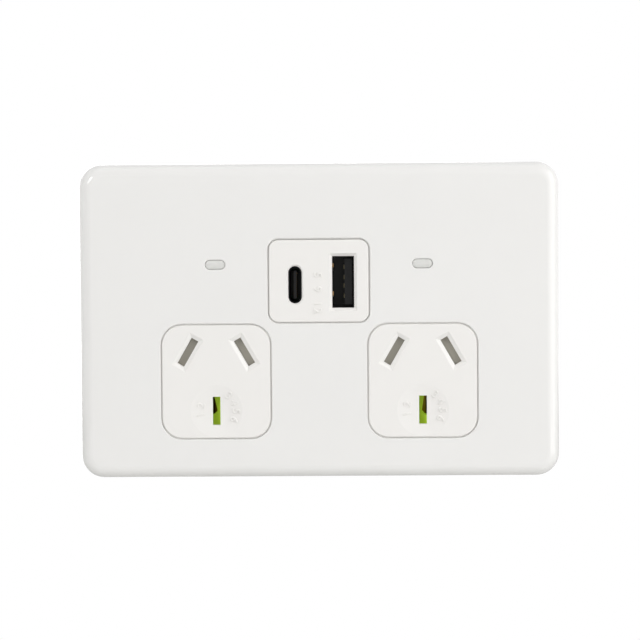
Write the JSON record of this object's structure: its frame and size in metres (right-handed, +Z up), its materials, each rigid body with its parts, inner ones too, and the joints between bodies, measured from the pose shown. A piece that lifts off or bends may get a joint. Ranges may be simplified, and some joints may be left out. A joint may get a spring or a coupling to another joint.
{
  "type": "usb wall socket",
  "caption": "Double wall power socket outlet with a clip-on cover, shuttered angled-pin sockets, push buttons and a USB charger insert.",
  "frame": {"origin": "centre of the plate on the wall plane, midway between the two wall-box screws", "axes": "+X to the right along the plate's length, +Z up, front faces -Y and the rear housing goes into the wall along +Y"},
  "size_m": [0.116, 0.039, 0.076],
  "materials": {
    "gloss_white_cover": "glossy",
    "white_frame": "glossy",
    "grey_housing": "fine textured",
    "grey_shutter": "satin",
    "green_cam": "satin",
    "spring_steel": "satin",
    "brass": "satin",
    "plated_steel": "zinc plated",
    "usb_shell_metal": "nickel plated",
    "black_insulator": "moulded",
    "gold_contact": "gold flashed",
    "frosted_button": "frosted",
    "switch_plunger_plastic": "moulded",
    "led_lens": "cast",
    "board_laminate": "solder mask",
    "ferrite": "ground",
    "winding_tape": "polyester tape",
    "capacitor_sleeve": "shrink sleeve"
  },
  "bodies": {
    "socket": {"active_contact_left": "brass", "active_contact_right": "brass", "active_link": "brass", "active_terminal": "brass", "board_connector": "black_insulator", "capacitors": "capacitor_sleeve", "control_board": "board_laminate", "earth_bar": "brass", "earth_terminal": "brass", "face_cover": "gloss_white_cover", "led_left": "led_lens", "led_right": "led_lens", "neutral_bar": "brass", "neutral_terminal": "brass", "power_board": "board_laminate", "rear_housing": "grey_housing", "relay_left": "black_insulator", "relay_right": "black_insulator", "shutter_retainer_left": "grey_housing", "shutter_retainer_right": "grey_housing", "shutter_spring_left": "spring_steel", "shutter_spring_right": "spring_steel", "socket_front": "white_frame", "tact_switch_left": "black_insulator", "tact_switch_right": "black_insulator", "terminal_screws": "plated_steel", "transformer_core": "ferrite", "transformer_winding": "winding_tape", "usb_a_contacts": "gold_contact", "usb_a_shell": "usb_shell_metal", "usb_a_tongue": "black_insulator", "usb_c_shell": "usb_shell_metal", "usb_c_tongue": "black_insulator", "usb_insert": "white_frame"},
    "shutter_left": {"shutter_plate_left": "grey_shutter", "shutter_cam_left": "green_cam"},
    "button_left": {"power_button_left": "frosted_button", "switch_plunger_left": "switch_plunger_plastic"},
    "shutter_right": {"shutter_plate_right": "grey_shutter", "shutter_cam_right": "green_cam"},
    "button_right": {"power_button_right": "frosted_button", "switch_plunger_right": "switch_plunger_plastic"}
  },
  "joints": [
    {"name": "shutter_slide_left", "type": "slide", "parent": "socket", "child": "shutter_left", "axis": [1, 0, 0], "range_m": [0, 0.0024], "stiffness_N_per_m": 150, "springref_m": -0.002, "deforming": ["shutter_spring_left"]},
    {"name": "shutter_slide_right", "type": "slide", "parent": "socket", "child": "shutter_right", "axis": [1, 0, 0], "range_m": [0, 0.0024], "stiffness_N_per_m": 150, "springref_m": -0.002, "deforming": ["shutter_spring_right"]},
    {"name": "button_press_left", "type": "slide", "parent": "socket", "child": "button_left", "axis": [0, 1, 0], "range_m": [0, 0.0005], "stiffness_N_per_m": 600, "springref_m": -0.0005},
    {"name": "button_press_right", "type": "slide", "parent": "socket", "child": "button_right", "axis": [0, 1, 0], "range_m": [0, 0.0005], "stiffness_N_per_m": 600, "springref_m": -0.0005}
  ]
}
